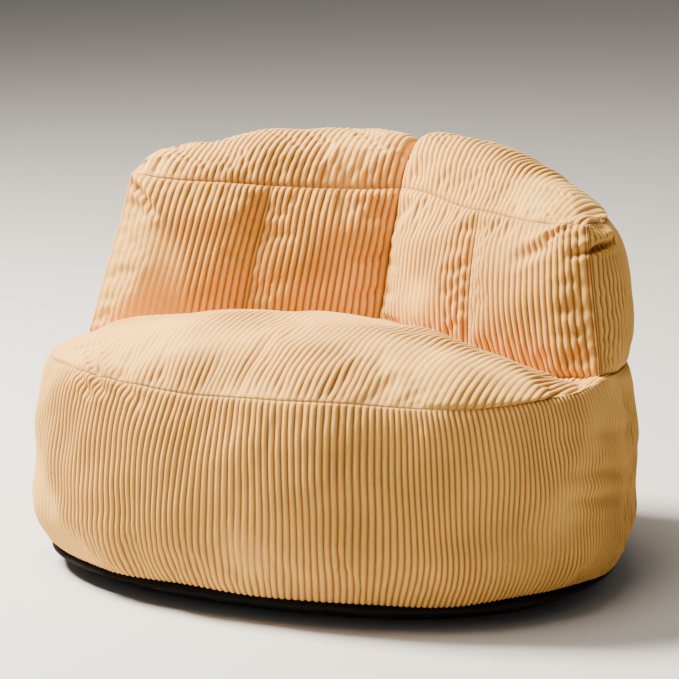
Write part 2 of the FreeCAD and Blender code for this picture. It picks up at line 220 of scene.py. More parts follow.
LUMPS = [waves(seed, 0.34, 0.12) for seed in (11, 12, 13)]
WRINKLES = waves(21, 0.10, 0.045, 20)
WANDER = waves(31, 0.30, 0.09, 16)
BRUSHED = waves(41, 0.30, 0.10, 16)


def lumpy(p, amount):
    return p + amount * np.stack([field(p) for field in LUMPS], axis=-1)


def leaned(p):
    """The backrest's settled lean, from nothing at the seat seam to all of it at the top."""
    up = np.clip((p[..., 2] - SEAM_Z) / (SEAM_TOP_Z - SEAM_Z), 0, 1)
    return p + points(0, 0, BACK_LEAN * p[..., 0] * up)


# Folds and creases of the cover: (points along it), half width, depth. A negative depth is a roll.
RIGHT_ARM_FOLD = (  # the lip, the crease under it, the roll and its crease, and the slack beside them
    (((0.279, 0.024, 0.479), (0.314, 0.028, 0.502), (0.341, 0.055, 0.513), (0.344, 0.121, 0.505)),
     0.009, -0.006),
    (((0.301, 0.024, 0.486), (0.318, 0.028, 0.494), (0.342, 0.033, 0.502), (0.349, 0.102, 0.498)),
     0.005, 0.012),
    (((0.322, 0.010, 0.480), (0.356, 0.018, 0.489), (0.364, 0.096, 0.487)), 0.008, -0.005),
    (((0.340, 0.008, 0.467), (0.366, 0.020, 0.476), (0.369, 0.087, 0.478)), 0.005, 0.011),
    (((0.256, 0.017, 0.452), (0.303, 0.016, 0.478)), 0.009, 0.004),
)
LEFT_ARM_DART = (  # the dart at the arm's top, and the slack below it
    (((-0.358, 0.018, 0.526), (-0.337, 0.014, 0.507), (-0.311, 0.003, 0.480)), 0.0045, 0.008),
    (((-0.354, 0.008, 0.497), (-0.330, 0.003, 0.478)), 0.008, 0.003),
)
RIGHT_ARM_FOOT = (  # cross-wise creases where the arm meets the seat
    (((0.325, -0.012, 0.428), (0.370, 0.001, 0.437)), 0.007, 0.0020),
    (((0.330, -0.020, 0.395), (0.374, -0.012, 0.400)), 0.007, 0.0020),
    (((0.332, -0.027, 0.361), (0.380, -0.021, 0.368)), 0.007, 0.0022),
)
RIGHT_FLANK = (  # the slack side of the drum
    (((0.397, -0.180, 0.252), (0.417, -0.076, 0.239), (0.420, 0.026, 0.224)), 0.010, 0.0040),
    (((0.405, -0.180, 0.204), (0.423, -0.089, 0.191), (0.429, -0.006, 0.174)), 0.009, 0.0045),
    (((0.415, -0.168, 0.167), (0.428, -0.101, 0.156), (0.431, -0.016, 0.137)), 0.009, 0.0040),
)
SEAT_LEFT_EDGE = (  # where the seat is crumpled
    (((-0.318, -0.240, 0.320), (-0.253, -0.237, 0.338)), 0.007, 0.0040),
    (((-0.278, -0.252, 0.327), (-0.242, -0.303, 0.311), (-0.220, -0.321, 0.288)), 0.006, 0.0060),
    (((-0.258, -0.256, 0.330), (-0.225, -0.302, 0.315), (-0.197, -0.327, 0.296)), 0.007, -0.0045),
    (((-0.285, -0.273, 0.315), (-0.262, -0.302, 0.297), (-0.242, -0.315, 0.279)), 0.006, 0.0040),
    (((-0.199, -0.312, 0.316), (-0.176, -0.332, 0.300), (-0.152, -0.341, 0.284)), 0.007, 0.0040),
)
CREASES = RIGHT_ARM_FOLD + LEFT_ARM_DART + RIGHT_ARM_FOOT + RIGHT_FLANK + SEAT_LEFT_EDGE
CREASE_END_DEPTH = 0.4  # at its two ends a crease is this share as deep as in its middle
CREASE_LIP, CREASE_LIP_AWAY = 0.4, 2.1  # the lip's share of the depth, and its distance in half widths


def nearest_on(path, p):
    """The distance from p to a line through points, and how far along it that lies, from 0 to 1."""
    reached = running_length(path)
    distance = np.full(p.shape[:-1], np.inf)
    along = np.zeros(p.shape[:-1])
    for start, end, before, after in zip(path, path[1:], reached, reached[1:]):
        run = end - start
        t = np.clip((p - start) @ run / (run @ run), 0, 1)
        away = np.linalg.norm(p - start - t[..., None] * run, axis=-1)
        along = np.where(away < distance, lerp(before, after, t) / reached[-1], along)
        distance = np.minimum(distance, away)
    return distance, along


def crease_depth(p):
    """How far the cover is pressed in at p. Beside each crease it stands up a little instead."""
    total = np.zeros(p.shape[:-1])
    for path, half_width, depth in CREASES:
        distance, along = nearest_on(np.array(path), p)
        away = distance / half_width
        fade = lerp(CREASE_END_DEPTH, 1, np.sin(math.pi * along))
        lip = CREASE_LIP * np.exp(-((away - CREASE_LIP_AWAY) ** 2))
        total += depth * fade * (np.exp(-(away**2)) - lip)
    return total


# ---------------------------------------------------------------- the drum

PLAN_ANGLES = np.linspace(-1.5 * math.pi, 0.5 * math.pi, 2001)


def drawn_in_above(z):
    """From 0 at the bulge to 1 at the seat's seam."""
    return np.clip((z - BULGE_Z) / (SEAM_Z - BULGE_Z), 0, 1) ** FLANK_POWER


def drum_inset(z):
    drawn_in_below = np.clip((BULGE_Z - z) / (BULGE_Z - RIM_Z), 0, 1) ** FLANK_POWER
    return RIM_INSET * drawn_in_below + SEAM_INSET * drawn_in_above(z)


def seam_ease(angle):
    """How much less the seam is drawn in behind than in front."""
    return (SEAM_INSET - REAR_SEAM_INSET) * smooth(np.sin(angle) / REAR_SEAM_EASE)


def drum_plan(angle, inset):
    c, s = np.cos(angle), np.sin(angle)
    half, front = HALF_WIDTH - inset, FRONT_REACH - inset
    n = FRONT_SQUARENESS
    r_front = (np.abs(c / half) ** n + np.abs(s / front) ** n) ** (-1 / n)
    r = np.where(s >= 0, half, r_front)
    return r * c, HIP_Y + r * s


PLAN_LENGTH = running_length(points(*drum_plan(PLAN_ANGLES, 0.0), 0.0))
PLAN_LENGTH -= PLAN_LENGTH[-1] / 2
PROFILE_Z = np.linspace(RIM_Z, SEAM_Z, 200)
PROFILE_SHARE = running_length(points(-drum_inset(PROFILE_Z), 0.0, PROFILE_Z))
PROFILE_SHARE = PROFILE_SHARE / PROFILE_SHARE[-1]
ZIP_SHARE = float(np.interp(ZIP_BAND_FOOT_Z, PROFILE_Z, PROFILE_SHARE))
ROUND_A = 2 * PLAN_LENGTH[-1]


def band_place(a, b):
    """a is the length round the drum from the middle of its front, b goes from its foot to the seam."""
    angle = np.interp((a + ROUND_A / 2) % ROUND_A - ROUND_A / 2, PLAN_LENGTH, PLAN_ANGLES)
    z = np.interp(b, PROFILE_SHARE, PROFILE_Z)
    hang = BULGE_EASE * np.sin(math.pi * b) + LOW_EASE * np.sin(2 * math.pi * b)
    hang = hang * smooth((b - EASE_FROM) / EASE_BLEND)
    inset = drum_inset(z) + hang - seam_ease(angle) * drawn_in_above(z)
    x, y = drum_plan(angle, inset)
    return points(x, y, z)


def rear_band_place(a, b):
    return band_place(a, lerp(ZIP_SHARE, 1.0, b))


# ---------------------------------------------------------------- the seat


def foot_line(x):
    s = np.clip(np.abs(x) / FOOT_X, 0, 1)
    return FOOT_Y + FOOT_RISE * (1 - s) ** INNER_CURVE


def seat_front(x):
    n = FRONT_SQUARENESS
    across = np.clip(np.abs(x) / SEAM_HALF_WIDTH, 0, 1)
    return HIP_Y - SEAM_FRONT_REACH * (1 - across**n) ** (1 / n)


def seat_rear(x):
    on_drum = HIP_Y + np.sqrt(np.clip(SEAM_HALF_WIDTH**2 - x**2, 0, None))
    under_arm = UNDER_ARM * smooth((np.abs(x) - UNDER_ARM_X) / UNDER_ARM_BLEND)
    return np.minimum(foot_line(x) + under_arm, on_drum)


def seat_rise(x, y):
    """The dome's height over its seam: none at the drum's edge and at the backrest's foot."""
    n = FRONT_SQUARENESS
    reach = np.where(y < HIP_Y, SEAM_FRONT_REACH, SEAM_HALF_WIDTH)
    to_drum = (np.abs(x / SEAM_HALF_WIDTH) ** n + np.abs((y - HIP_Y) / reach) ** n) ** (1 / n)
    to_back = np.clip(1 - (foot_line(x) - y) / SEAT_EDGE, 0, 1)
    share = np.clip((to_drum**SEAT_CORNER + to_back**SEAT_CORNER) ** (1 / SEAT_CORNER), 0, 1)
    return SEAT_RISE * (1 - share**DOME_FALL) ** DOME_FULLNESS


def seat_place(a, b):
    """a is the distance across the wales, b goes from the backrest's foot to the front seam."""
    y = lerp(seat_rear(a), seat_front(a), b)
    return points(a, y, SEAM_Z + seat_rise(a, y))


# ---------------------------------------------------------------- the backrest


def seam_top_z(share):
    return SEAM_TOP_Z + ARM_LIFT * share**4


def outer_top_z(share):
    return lerp(OUTER_TOP_Z, seam_top_z(share), share**6)


def inner_edges(s):
    bend = (1 - s) ** INNER_CURVE
    foot = points(FOOT_X * s, FOOT_Y + FOOT_RISE * bend, FOOT_Z)
    top = points(SEAM_TOP_X * s, SEAM_TOP_Y + SEAM_TOP_RISE * bend, seam_top_z(s))
    return foot, top


INNER_S = np.linspace(0, 1, 400)
INNER_LENGTH = running_length(sum(inner_edges(INNER_S)) / 2)
CHANNEL_A = float(np.interp(CHANNEL_S, INNER_S, INNER_LENGTH))


def inner_place(side, a, b):
    """a is the length from the centre seam along the inner face, b goes from its foot to its top."""
    s = np.interp(a, INNER_LENGTH, INNER_S)
    foot, top = inner_edges(s)
    p = lerp(foot, top, b[..., None])
    centre = 1 - np.exp(-a / CENTRE_PULL_REACH)
    pull = CHANNEL_PULL * np.exp(-np.abs(a - CHANNEL_A) / CHANNEL_PULL_REACH)
    channel = 1 - pull * lerp(CHANNEL_PULL_AT_FOOT, 1.0, b)
    arm = 1 - np.exp(-(INNER_LENGTH[-1] - a) / ARM_PULL_REACH)
    out = INNER_PILLOW * np.sin(math.pi * np.clip(b, 0, 1)) ** 0.8 * centre * channel * arm
    p = p + out[..., None] * points(INNER_PILLOW_X * s, INNER_PILLOW_Y, 0.0)
    return leaned(p * np.array([side, 1, 1]))


ARM_LOW, ARM_HIGH = inner_edges(np.array(1.0))


def inner_top_line(x):
    s = np.clip(np.abs(x) / SEAM_TOP_X, 0, 1)
    return SEAM_TOP_Y + SEAM_TOP_RISE * (1 - s) ** INNER_CURVE


def outer_top_line(x):
    across = np.sqrt(np.clip(1 - (x / SEAM_TOP_X) ** 2, 0, 1))
    return SEAM_TOP_Y + (OUTER_TOP_Y + OUTER_TOP_REACH - SEAM_TOP_Y) * across


def top_place(side, a, b):
    """a is the distance from the centre seam, b goes from the inner seam over to the outer one."""
    share = np.clip(a / SEAM_TOP_X, 0, 1)
    y = lerp(inner_top_line(a), outer_top_line(a), b)
    z = lerp(seam_top_z(share), outer_top_z(share), b)
    crown_at_centre = TOP_Z - (SEAM_TOP_Z + OUTER_TOP_Z) / 2
    crown = lerp(crown_at_centre, CROWN_AT_ARM[side], share**CROWN_FALL)
    crown = crown * (1 - sum(dip * np.exp(-a / reach) for dip, reach in CENTRE_DIPS))
    crown = crown * (1 - share ** TIP_SHARPNESS[side])
    z = z + crown * arch(b, 0.75)
    return leaned(points(side * a, y, z))


OUTER_PLAN = points(INNER_S * SEAM_TOP_X, outer_top_line(INNER_S * SEAM_TOP_X), 0.0)
OUTER_PLAN_ANGLE = np.arctan2(OUTER_PLAN[:, 1] - HIP_Y, OUTER_PLAN[:, 0])
OUTER_PLAN_RADIUS = np.hypot(OUTER_PLAN[:, 0], OUTER_PLAN[:, 1] - HIP_Y)
ARM_TOP_ANGLE = math.atan2(ARM_HIGH[1] - HIP_Y, ARM_HIGH[0])
ARM_LOW_ANGLE = math.atan2(ARM_LOW[1] - HIP_Y, ARM_LOW[0])
ARM_LOW_RADIUS = math.hypot(ARM_LOW[0], ARM_LOW[1] - HIP_Y)
OUTER_END = (math.pi / 2 - ARM_LOW_ANGLE) * SEAM_HALF_WIDTH


def outer_place(side, a, b):
    """a is the length round from the back's centre seam, b goes up from the drum's seam."""
    share = np.clip(a / OUTER_END, 0, 1)
    foot_angle = lerp(math.pi / 2, ARM_LOW_ANGLE, share)
    top_angle = lerp(math.pi / 2, ARM_TOP_ANGLE, share)
    at_arm = smooth((share - 1 + ARM_BLEND) / ARM_BLEND)
    foot_radius = lerp(SEAM_HALF_WIDTH + seam_ease(foot_angle), ARM_LOW_RADIUS, at_arm)
    top_radius = np.interp(top_angle, OUTER_PLAN_ANGLE[::-1], OUTER_PLAN_RADIUS[::-1])
    top_share = np.clip(top_radius * np.cos(top_angle) / SEAM_TOP_X, 0, 1)
    top_z = outer_top_z(top_share)
    foot = points(foot_radius * np.cos(foot_angle), foot_radius * np.sin(foot_angle), FOOT_Z)
    top = points(top_radius * np.cos(top_angle), top_radius * np.sin(top_angle), top_z)
    p = lerp(foot, top, b[..., None])
    away = unit(p * np.array([1, 1, 0]))
    out = OUTER_PILLOW * arch(b, 0.6) * (1 - np.exp(-(OUTER_END - a) / OUTER_PILLOW_REACH))
    p = p + away * out[..., None] + np.array([0, HIP_Y, 0])
    return leaned(p * np.array([side, 1, 1]))


def inward(p):
    """Towards the middle of the fill. It depends on place alone, so that two panels turn in together."""
    in_back = smooth((p[..., 2] - SEAM_Z - 0.01) / 0.05)
    back_middle_y = foot_line(p[..., 0]) * BACK_MIDDLE_BEND + BACK_MIDDLE_Y
    y = lerp(HIP_Y, back_middle_y, in_back)
    z = lerp(DRUM_MIDDLE_Z, BACK_MIDDLE_Z, in_back)
    return unit(points(MIDDLE_X_SHARE * p[..., 0], y, z) - p)


# ---------------------------------------------------------------- the panels

SIDES = (("left", -1), ("right", 1))
SIDE_SEAM_ANGLE = math.radians(10)  # behind the hips, where the drum's front and rear bands meet
TIP_GAP = 0.0005  # a panel that runs to a point ends this far before it


class Panel:
    """A sewn panel. place(a, b) is its surface, with the wales along b, from start to end across."""

    def __init__(self, name, place, start, end, sign, fill, slack, pressure):
        self.name, self.place, self.start, self.end = name, place, start, end
        self.sign, self.fill, self.slack, self.pressure = sign, fill, slack, pressure
        self.folds = None

    def wale_lengths(self, at):
        b = np.linspace(0, 1, 30)
        return np.array([running_length(self.place(np.full(30, x), b))[-1] for x in at])

    def coarse_grid(self):
        columns = max(8, round((self.end - self.start) / COARSE_STEP))
        at = np.linspace(self.start, self.end, columns + 1)
        rows = max(8, round(self.wale_lengths(at).max() / COARSE_STEP))
        return np.meshgrid(at, np.linspace(0, 1, rows + 1), indexing="ij")


def make_panels():
    side_a = float(np.interp(SIDE_SEAM_ANGLE, PLAN_ANGLES, PLAN_LENGTH))
    seat_end = SEAM_HALF_WIDTH - TIP_GAP
    panels = [
        Panel("base_band_front", band_place, -side_a, side_a, 1, 0.85, 0.012, 0.5),
        Panel("base_band_rear", rear_band_place, side_a, ROUND_A - side_a, 1, 0.85, 0.012, 0.5),
        Panel("seat_panel", seat_place, -seat_end, seat_end, -1, 0.8, 0.015, 1.5),
    ]
    for side_name, side in SIDES:
        panels += back_panels(side_name, side)
    return panels


def back_panels(side_name, side):
    def inner(a, b):
        return inner_place(side, a, b)

    def top(a, b):
        return top_place(side, a, b)

    def outer(a, b):
        return outer_place(side, a, b)

    inner_end = INNER_LENGTH[-1]
    return [
        Panel(f"inner_back_{side_name}_centre", inner, 0.0, CHANNEL_A, side, 0.7, 0.03, 3.0),
        Panel(f"inner_back_{side_name}_outer", inner, CHANNEL_A, inner_end, side, 0.7, 0.018, 2.4),
        Panel(f"back_top_{side_name}", top, 0.0, SEAM_TOP_X - TIP_GAP, side, 0.7, 0.02, 2.0),
        Panel(f"outer_back_{side_name}", outer, 0.0, OUTER_END - TIP_GAP, -side, 0.75, 0.015, 1.0),
    ]


# ---------------------------------------------------------------- meshes


def normals(p, sign):
    n = np.cross(np.gradient(p, axis=0), np.gradient(p, axis=1)) * sign
    length = np.linalg.norm(n, axis=-1, keepdims=True)
    return n / np.maximum(length, 1e-12)


def grid_faces(rows, columns, flip=False):
    index = np.arange(rows * columns).reshape(rows, columns)
    corners = (index[:-1, :-1], index[1:, :-1], index[1:, 1:], index[:-1, 1:])
    faces = np.stack(corners, axis=-1).reshape(-1, 4)
    return faces[:, ::-1] if flip else faces


def new_object(name, vertices, faces):
    mesh = bpy.data.meshes.new(name)
    faces = faces.tolist() if isinstance(faces, np.ndarray) else faces
    mesh.from_pydata(np.asarray(vertices).reshape(-1, 3).tolist(), [], faces)
    piece = bpy.data.objects.new(name, mesh)
    bpy.context.scene.collection.objects.link(piece)
    return piece


def dress(piece, node, slot, material, fill=None):
    """Gives the piece its material and puts it in the CAD node's place. fill is not used."""
    piece.data.materials.append(material)
    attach(piece, "chair")
    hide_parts(node)


# ---------------------------------------------------------------- cloth simulation


def start_cloth(panel):
    """A coarse copy of the panel under a cloth modifier, held at its seams."""
    rest = panel.place(*panel.coarse_grid())
    columns, rows = rest.shape[:2]
    piece = new_object("coarse_" + panel.name, rest, grid_faces(columns, rows, panel.sign < 0))
    edge = np.ones((columns, rows), bool)
    edge[1:-1, 1:-1] = False
    held = piece.vertex_groups.new(name="held")
    held.add(np.flatnonzero(edge).tolist(), 1.0, "REPLACE")
    modifier = piece.modifiers.new("cloth", "CLOTH")
    cloth = modifier.settings
    cloth.vertex_group_mass = "held"
    cloth.mass = 0.3
    cloth.quality = 6
    cloth.tension_stiffness = 30
    cloth.compression_stiffness = 12
    cloth.shear_stiffness = 6
    cloth.bending_stiffness = 0.4
    cloth.shrink_min = -panel.slack
    cloth.use_pressure = True
    cloth.uniform_pressure_force = panel.pressure
    cloth.effector_weights.gravity = 0.0
    modifier.collision_settings.use_collision = False
    modifier.point_cache.frame_end = SIM_FRAMES
    return piece, rest


def run_cloth(panels):
    """Simulates every panel's coarse copy and keeps how far each point of it moved."""
    started = [start_cloth(panel) for panel in panels]
    scene = bpy.context.scene
    for number in range(1, SIM_FRAMES + 1):
        scene.frame_set(number)
    graph = bpy.context.evaluated_depsgraph_get()
    for panel, (piece, rest) in zip(panels, started):
        moved = np.empty(rest.size, np.float32)
        piece.evaluated_get(graph).data.vertices.foreach_get("co", moved)
        shift = moved.reshape(rest.shape) - rest
        n = normals(rest, panel.sign)
        sunk = np.minimum((shift * n).sum(axis=-1, keepdims=True) + SINK_LIMIT, 0)
        shift = shift - n * sunk
        size = np.linalg.norm(shift, axis=-1, keepdims=True)
        panel.folds = shift * (FOLD_LIMIT * np.tanh(size / FOLD_LIMIT) / np.maximum(size, 1e-9))
    for piece, _ in started:
        mesh = piece.data
        bpy.data.objects.remove(piece)
        bpy.data.meshes.remove(mesh)
    scene.frame_set(1)


def spread(count, t):
    """Weights that take values at count even steps to places t from 0 to 1, along smooth curves."""
    at = np.clip(t, 0, 1) * (count - 1)
    first = np.clip(np.floor(at).astype(int), 0, count - 2)
    f = at - first
    cubic = (
        -0.5 * f**3 + f**2 - 0.5 * f,
        1.5 * f**3 - 2.5 * f**2 + 1,
        -1.5 * f**3 + 2 * f**2 + 0.5 * f,
        0.5 * f**3 - 0.5 * f**2,
    )
    weights = np.zeros((len(t), count))
    for offset, weight in zip((-1, 0, 1, 2), cubic):
        index = np.clip(first + offset, 0, count - 1)
        np.add.at(weights, (np.arange(len(t)), index), weight)
    return weights


# ---------------------------------------------------------------- corduroy


def wale_width(panel, a):
    """A wale's width at a. The seat and the top are pulled less wide, and the drum's right is slack."""
    if panel.name == "base_band_front":
        return WALE * lerp(1, SLACK_FLANK_WALE, smooth((a - SLACK_FLANK_X) / SLACK_FLANK_BLEND))
    taut = panel.name == "seat_panel" or panel.name.startswith("back_top")
    return np.full_like(a, TAUT_WALE * WALE if taut else WALE)


def wale_columns(panel):
    """Where the columns lie across the wales, and each one's height on its rib, from 0 to 1."""
    a = np.linspace(panel.start, panel.end, 1000)
    per_step = (a[1] - a[0]) / wale_width(panel, a)
    counted = np.cumsum(per_step) - np.interp(0, a, np.cumsum(per_step))
    ribs = np.arange(math.floor(counted[0]), math.ceil(counted[-1]) + 1)
    steps = np.array(RIB_STEPS)
    number = (ribs[:, None] + 0.5 + steps[None, :]).ravel()
    across = np.tile(steps, len(ribs))
    inside = (number > counted[0] + EDGE_CLEAR) & (number < counted[-1] - EDGE_CLEAR)
    at = np.concatenate([[panel.start], np.interp(number[inside], counted, a), [panel.end]])
    height = 1 - np.abs(2 * np.concatenate([[-0.5], across[inside], [0.5]])) ** RIB_POWER
    return at, height


def add_hem(p):
    """The seam allowance: one more row round the edge, turned in."""
    wide = np.pad(p, ((1, 1), (1, 1), (0, 0)), mode="edge")
    turned = wide + inward(wide) * HEM_DEPTH
    turned[1:-1, 1:-1] = p
    return turned


def fine_rows(lengths, columns):
    """Where the rows of a panel's fine grid lie, from 0 to 1."""
    count = min(int(lengths.max() / ROW_STEP), MOST_FACES // columns)
    b = np.linspace(0, 1, count)
    return lerp(b, smooth(b), ROW_CROWDING)


def fine_folds(panel, at, b):
    """The simulated cloth's folds, on the panel's fine grid."""
    columns, rows = panel.folds.shape[:2]
    across = spread(columns, (at - panel.start) / (panel.end - panel.start))
    return np.einsum("ic,crk,jr->ijk", across, panel.folds, spread(rows, b))


def pressed_in(p, pressed, to_seam, sign):
    """Presses the creases in: along the normal, but near a seam as the neighbour panel does it."""
    from_seam = smooth(to_seam / TURN_IN_REACH)[..., None]
    direction = unit(lerp(inward(p), -normals(p, sign), from_seam))
    return p + direction * pressed[..., None]


def wear_beyond(x, wear):
    amount, start, blend = wear
    return amount * smooth((x - start) / blend)


def nap_wear_and_top_light(panel, p):
    """How far the nap is brushed flat, from 0 to 1: in patches, and more of them towards both sides. On the
    seat and the top it is partly painted light: it lessens the painted groove shade where light falls from
    above.
    """
    worn = next((wear for start, wear in WEAR_AND_TOP_LIGHT.items() if panel.name.startswith(start)), 0.0)
    worn = worn + wear_beyond(-p[..., 0], LEFT_WEAR)
    if panel.name == "base_band_front":
        worn = worn + wear_beyond(p[..., 0], RIGHT_FLANK_WEAR)
    return smooth((PATCH_WEAR * BRUSHED(p) + worn - WEAR_FROM) / WEAR_BLEND)


def seam_strength(p):
    """How strong the seams' tuck and their line of painted shade are: less up the front of the arms, else
    1.
    """
    at_arm = smooth((np.abs(p[..., 0]) - ARM_SEAM_X) / ARM_SEAM_BLEND)
    above_seat = smooth((p[..., 2] - SEAM_Z - 0.01) / 0.03)
    return 1 - ARM_SEAM_SOFTNESS * at_arm * above_seat


def corduroy_panel(panel, material):
    at, height = wale_columns(panel)
    height = height[:, None]
    lengths = panel.wale_lengths(at)
    b = fine_rows(lengths, len(at))
    a_grid, b_grid = np.meshgrid(at, b, indexing="ij")
    lengths = lengths[:, None]
    to_side = np.minimum(a_grid - panel.start, panel.end - a_grid)
    to_seam = np.minimum(to_side, np.minimum(b_grid, 1 - b_grid) * lengths)

    shift = WANDER_SHIFT * WANDER(panel.place(a_grid, b_grid)) * smooth(to_side / WANDER_REACH)
    p = panel.place(a_grid + shift, b_grid)
    pressed = crease_depth(lumpy(p, LUMP_HEIGHT))
    if panel.folds is not None:
        p = p + fine_folds(panel, at, b)
    p = pressed_in(lumpy(p, LUMP_HEIGHT), pressed, to_seam, panel.sign)

    # Brushed nap, and on the seat and the top also painted light: it flattens the ribs and takes painted
    # shade out of their grooves.
    wear = nap_wear_and_top_light(panel, p)
    strength = seam_strength(p)
    at_hem = panel.name.startswith("base_band")  # a band's foot is a hem, where the ribs stay full
    to_stitch = np.minimum(to_side, (1 - b_grid) * lengths) if at_hem else to_seam
    rib = RIB_HEIGHT * (height * (1 - RIB_WEAR * wear) - 0.5) * (1 - np.exp(-to_stitch / STITCH_REACH))
    wrinkle = WRINKLE_HEIGHT * WRINKLES(p) * smooth(to_seam / WRINKLE_REACH)
    tuck = SEAM_TUCK * np.exp(-to_seam / SEAM_TUCK_REACH) * strength
    p = p + normals(p, panel.sign) * (rib + wrinkle)[..., None] + inward(p) * tuck[..., None]

    # Painted shade across each rib, deepest in its groove and less where the nap is worn.
    groove = (1 - height) * (1 - GROOVE_WEAR * wear)
    # Painted shade along the seams and in the deeper creases.
    seam = np.maximum(np.exp(-to_seam / STITCH_REACH) * strength, np.clip(pressed / FULL_CREASE, 0, 1))
    build_corduroy(panel, add_hem(p), a_grid, b_grid * lengths, groove, seam, material)


def build_corduroy(panel, p, across, along, groove, seam, material):
    faces = grid_faces(*p.shape[:2], panel.sign < 0)
    piece = new_object(panel.name, p, faces)
    mesh = piece.data
    uv = np.pad(np.stack([across, along], axis=-1), ((1, 1), (1, 1), (0, 0)), mode="edge")
    layer = mesh.uv_layers.new(name="UVMap")
    layer.data.foreach_set("uv", uv.reshape(-1, 2)[faces.ravel()].ravel().astype(np.float32))
    for name, values in (("groove", groove), ("seam", seam)):
        attribute = mesh.attributes.new(name, "FLOAT", "POINT")
        wide = np.pad(values, 1, constant_values=1.0)
        attribute.data.foreach_set("value", wide.ravel().astype(np.float32))
    mesh.shade_smooth()
    dress(piece, panel.name, "corduroy", material, panel.fill)


# ---------------------------------------------------------------- the dark base cloth

# (height, how far the outline lies inside the corduroy's lower edge), from there to the floor
BASE_PROFILE = (
    (0.034, 0.007),
    (0.026, 0.014),
    (0.017, 0.024),
    (0.008, 0.037),
    (0.0025, 0.050),
    (0.0, 0.064),
)
BASE_CENTRE_SHARES = (0.9, 0.7, 0.45, 0.2, 0.01)
GATHERS = waves(51, 0.06, 0.02, 18)
GATHER_HEIGHT = 0.0012
FLOOR_CLEAR, RIM_CLEAR = 0.012, 0.010  # nearer than this to the floor or the rim the gathers fade


def base_cloth_piece(material):
    angles = PLAN_ANGLES[::2]
    rings = []
    for z, inset in BASE_PROFILE:
        x, y = drum_plan(angles, RIM_INSET + inset)
        rings.append(points(x, y, z))
    middle = np.array([0.0, HIP_Y, 0.0])
    rings += [lerp(middle, rings[-1], share) for share in BASE_CENTRE_SHARES]
    p = np.stack(rings, axis=1)
    n = normals(p, 1)
    above_floor = smooth(p[..., 2] / FLOOR_CLEAR)
    below_rim = smooth((RIM_Z - p[..., 2]) / RIM_CLEAR)
    p = p + n * (GATHER_HEIGHT * GATHERS(p) * above_floor * below_rim)[..., None]
    hem = p[:, :1] - n[:, :1] * HEM_DEPTH
    p = np.concatenate([hem, p], axis=1)
    piece = new_object("bottom_panel", p, grid_faces(*p.shape[:2]))
    piece.data.shade_smooth()
    dress(piece, "bottom_panel", "base_cloth", material, 0.9)


# ---------------------------------------------------------------- zip teeth

ZIP_ANGLES = (math.radians(12.3), math.radians(167.7))
TOOTH_PITCH, TOOTH_LENGTH, TOOTH_REACH, TOOTH_HEIGHT = 0.0017, 0.0010, 0.0026, 0.0019
TOOTH_NARROWING = 0.25  # at its outer face
TOOTH_REACHES = (-0.3, 1.0)  # from a little past the zip's middle line, in shares of its reach
TOOTH_HEIGHTS = (0.03, 1.0)
ZIP_LOW = np.array([HALF_WIDTH - RIM_INSET, RIM_Z])
ZIP_HIGH = np.array([HALF_WIDTH - float(drum_inset(ZIP_BAND_FOOT_Z)), ZIP_BAND_FOOT_Z])
BOX_FACES = ((0, 1, 3, 2), (4, 6, 7, 5), (0, 4, 5, 1), (2, 3, 7, 6), (0, 2, 6, 4), (1, 5, 7, 3))


def zip_teeth(side_name, side, material):
    """One row of teeth. The two rows are half a pitch apart, as meshed teeth are."""
    up = (ZIP_HIGH - ZIP_LOW) / np.linalg.norm(ZIP_HIGH - ZIP_LOW)
    out = np.array([up[1], -up[0]])
    middle = (ZIP_LOW + ZIP_HIGH) / 2
    start, end = ZIP_ANGLES
    count = int((end - start) * middle[0] / TOOTH_PITCH)
    centres = start + (np.arange(count) + 0.25 + 0.25 * side) * (end - start) / count
    corners = []
    for along, reach, height in itertools.product((-1, 1), TOOTH_REACHES, TOOTH_HEIGHTS):
        narrowed = 1 - TOOTH_NARROWING * (height > 0.5)
        place = middle + up * side * TOOTH_REACH * reach * narrowed + out * TOOTH_HEIGHT * height
        angle = centres + along * narrowed * TOOTH_LENGTH / 2 / middle[0]
        x, y = place[0] * np.cos(angle), HIP_Y + place[0] * np.sin(angle)
        corners.append(points(x, y, place[1]))
    p = np.stack(corners, axis=1)
    faces = np.arange(count)[:, None, None] * 8 + np.array(BOX_FACES)
    name = "zip_teeth_" + side_name
    dress(new_object(name, p, faces.reshape(-1, 4)), name, "zip_teeth", material)


# ---------------------------------------------------------------- liners and fill

# (slot, inset from the cover, height of its ripples or lumps)
LINER = ("liner", 0.018, 0.0005)
FILL = ("fill", 0.022, 0.0008)
CORE_STEPS = 160
SEAT_CORE_FOOT_Z, SEAT_CORE_TOP_GAP = 0.06, 0.004
SEAT_CORE_SHARES = (0.96, 0.90, 0.80, 0.66, 0.50, 0.32, 0.14)  # the rings under the dome
SEAT_CORE_MIDDLE_Y = FRONT_Y * 0.35
BACK_CORE_FROM, BACK_CORE_TO = 0.04, 0.87  # from the centre seam, at 0, to the arm, at 1
SECTION_FROM, SECTION_TO = 0.08, 0.92  # the part of each face that a section follows


def seat_core_rings(inset):
    """Rings round the inside of the drum and under the seat, from the floor up."""
    angles = np.linspace(0, 2 * math.pi, CORE_STEPS, endpoint=False)
    rings = []
    for z, base_inset in reversed(BASE_PROFILE):
        x, y = drum_plan(angles, RIM_INSET + base_inset + inset)
        rings.append(points(x, y, z + inset))
    for z in np.linspace(SEAT_CORE_FOOT_Z, SEAM_Z - inset - SEAT_CORE_TOP_GAP, 12):
        x, y = drum_plan(angles, drum_inset(z) + inset)
        rings.append(points(x, y, z))
    x, y = drum_plan(angles, SEAM_INSET + inset)
    y = np.minimum(y, foot_line(x) - inset)
    for share in SEAT_CORE_SHARES:
        ring_x, ring_y = x * share, lerp(SEAT_CORE_MIDDLE_Y, y, share)
        rings.append(points(ring_x, ring_y, SEAM_Z + seat_rise(ring_x, ring_y) - inset))
    return rings


